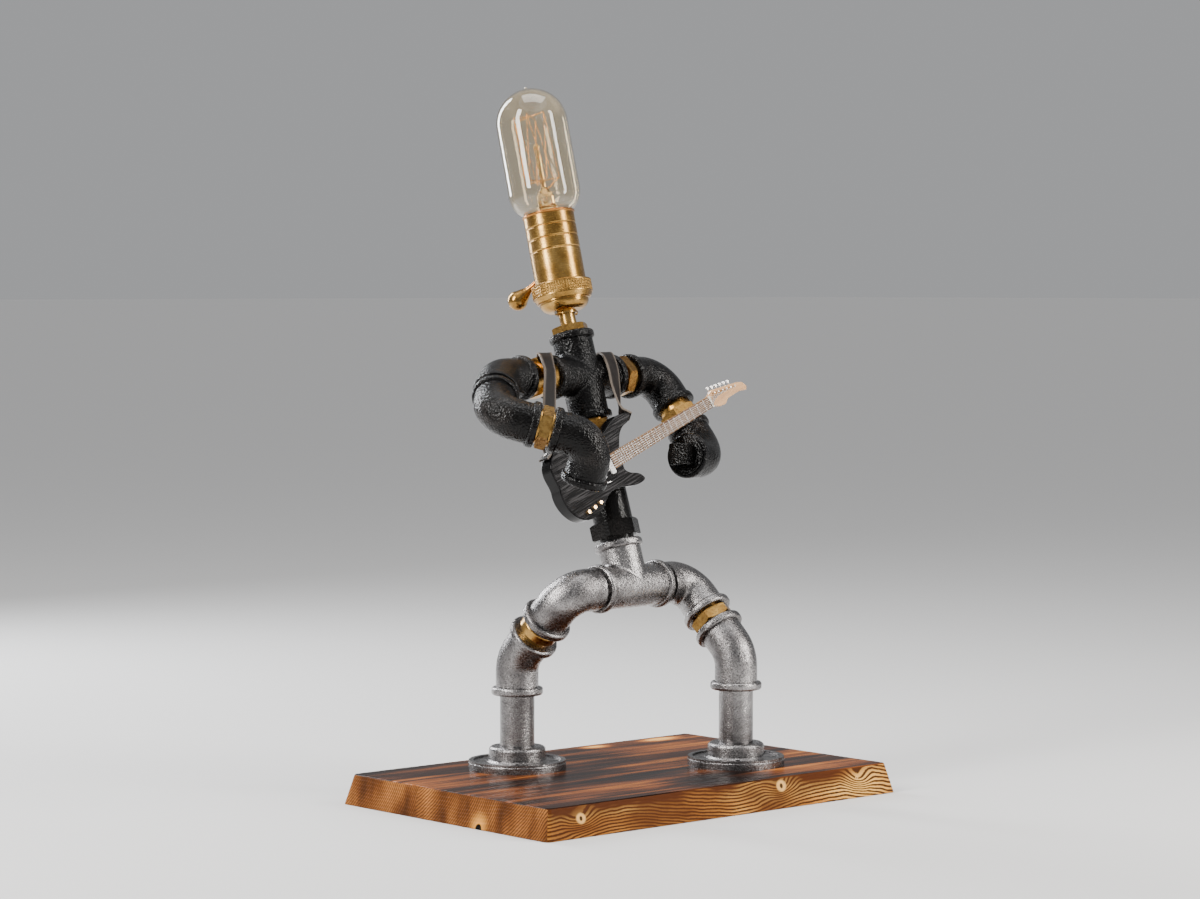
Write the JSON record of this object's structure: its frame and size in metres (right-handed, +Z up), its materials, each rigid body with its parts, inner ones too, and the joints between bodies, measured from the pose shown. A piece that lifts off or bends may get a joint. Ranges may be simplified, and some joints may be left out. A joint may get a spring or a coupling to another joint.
{
  "type": "table lamp",
  "caption": "Table lamp built of threaded pipe fittings, standing like a musician with a small guitar on a wooden board, with a turn switch and a screw-in filament bulb.",
  "frame": {"origin": "middle of the board's underside", "axes": "+X along the board's long edge towards the figure's left-hand guitar neck, +Y to the back, +Z up; the front faces -Y"},
  "size_m": [0.2806, 0.2009, 0.4319],
  "materials": {
    "board_pine": "varnished pine with a burnt top",
    "galvanised_steel": "zinc coated and worn",
    "black_iron": "oiled black malleable iron",
    "brass": "aged and brushed",
    "black_spine": "black coated pipe fitting",
    "guitar_black": "black lacquer over open grain",
    "guitar_maple": "light maple",
    "guitar_board": "light maple fingerboard",
    "guitar_metal": "polished",
    "guitar_gold": "gold coloured",
    "guitar_white": "cream",
    "strap_leather": "thin grey-brown strap",
    "liner_card": "fibre liner",
    "insulator": "black moulded",
    "screw_steel": "bright steel",
    "cap_aluminium": "plated cap",
    "bulb_glass": "clear with a faint amber tint",
    "filament_wire": "fine wire",
    "lead_sheath": "braided sheath",
    "core_sheath": "insulated cores",
    "grommet_rubber": "black"
  },
  "bodies": {
    "stand": {"base_board": "board_pine", "cord_grommet": "grommet_rubber", "left_floor_flange": "galvanised_steel", "right_floor_flange": "galvanised_steel", "flange_screws": "screw_steel", "left_leg_nipple": "galvanised_steel", "right_leg_nipple": "galvanised_steel", "left_knee_elbow": "galvanised_steel", "right_knee_elbow": "galvanised_steel", "left_knee_nipple": "brass", "right_knee_nipple": "brass", "left_hip_elbow": "galvanised_steel", "right_hip_elbow": "galvanised_steel", "lead_lower": "lead_sheath"},
    "torso": {"pelvis_tee": "galvanised_steel", "spine_extension": "black_spine", "chest_nipple": "brass", "chest_cross": "black_iron", "left_shoulder_nipple": "brass", "right_shoulder_nipple": "brass", "guitar_body": "guitar_black", "guitar_neck": "guitar_maple", "guitar_fretboard": "guitar_board", "guitar_frets": "guitar_metal", "guitar_nut": "guitar_white", "guitar_strings": "guitar_metal", "guitar_bridge": "guitar_metal", "guitar_pickups": "guitar_white", "guitar_knobs": "guitar_gold", "guitar_tuners": "guitar_metal", "guitar_strap_buttons": "guitar_metal", "guitar_strap": "strap_leather", "neck_bushing": "brass", "neck_stem": "brass", "lead_upper": "lead_sheath"},
    "left_upper_arm": {"left_shoulder_elbow": "black_iron", "left_upper_arm_nipple": "black_iron"},
    "left_forearm": {"left_elbow": "black_iron", "left_wrist_nipple": "brass"},
    "left_hand": {"left_hand_elbow": "black_iron"},
    "right_arm": {"right_arm_elbow": "black_iron", "right_wrist_nipple": "brass"},
    "right_hand": {"right_hand_elbow": "black_iron", "right_hand_plug": "black_iron"},
    "head": {"holder_cap": "brass", "cap_screw": "screw_steel", "knurled_ring": "brass", "holder_shell": "brass", "holder_liner": "liner_card", "holder_insulator": "insulator", "screw_shell": "brass", "centre_contact": "brass", "terminal_screws": "screw_steel", "holder_wires": "core_sheath"},
    "switch": {"switch_knob": "brass"},
    "bulb_tip": {"bulb_tip": "screw_steel"},
    "bulb": {"bulb_base": "cap_aluminium", "bulb_glass": "bulb_glass", "bulb_stem": "bulb_glass", "bulb_filament": "filament_wire"}
  },
  "joints": [
    {"name": "hip_lean", "type": "hinge", "parent": "stand", "child": "torso", "pos_m": [0.008, 0.004, 0.1274], "axis": [0.9962, 0.0872, 0], "range_deg": [-8, 10]},
    {"name": "left_shoulder_turn", "type": "hinge", "parent": "torso", "child": "left_upper_arm", "pos_m": [-0.04611, 0.03752, 0.25347], "axis": [0.9937, 0.112, -0.0078], "range_deg": [-60, 8]},
    {"name": "left_elbow_turn", "type": "hinge", "parent": "left_upper_arm", "child": "left_forearm", "pos_m": [-0.08202, 0.02026, 0.24543], "axis": [-0.6387, -0.6728, -0.3734], "range_deg": [-20, 20]},
    {"name": "left_wrist_turn", "type": "hinge", "parent": "left_forearm", "child": "left_hand", "pos_m": [-0.08011, -0.01481, 0.22768], "axis": [0.7682, -0.585, -0.2601], "range_deg": [-60, 60]},
    {"name": "right_shoulder_turn", "type": "hinge", "parent": "torso", "child": "right_arm", "pos_m": [0.0463, 0.04794, 0.25274], "axis": [0.9937, 0.112, -0.0078], "range_deg": [-4, 45]},
    {"name": "right_wrist_turn", "type": "hinge", "parent": "right_arm", "child": "right_hand", "pos_m": [0.07452, 0.03367, 0.23237], "axis": [0.0671, -0.6486, -0.7582], "range_deg": [-60, 60]},
    {"name": "head_turn", "type": "hinge", "parent": "torso", "child": "head", "pos_m": [0.00349, 0.0556, 0.29267], "axis": [-0.0199, 0.2445, 0.9694], "range_deg": [-150, 150]},
    {"name": "switch_turn", "type": "hinge", "parent": "head", "child": "switch", "pos_m": [0.00285, 0.06337, 0.32348], "axis": [-0.3743, 0.6284, -0.6819], "continuous": true},
    {"name": "bulb_lift", "type": "slide", "parent": "head", "child": "bulb_tip", "axis": [-0.0199, 0.2445, 0.9694], "range_m": [0, 0.0073]},
    {"name": "bulb_turn", "type": "hinge", "parent": "bulb_tip", "child": "bulb", "pos_m": [0.00281, 0.06387, 0.32546], "axis": [-0.0199, 0.2445, 0.9694], "range_deg": [0, 720]}
  ],
  "couplings": [
    {"joint": "bulb_lift", "follows": "bulb_turn", "m_per_rad": 0.000578}
  ]
}
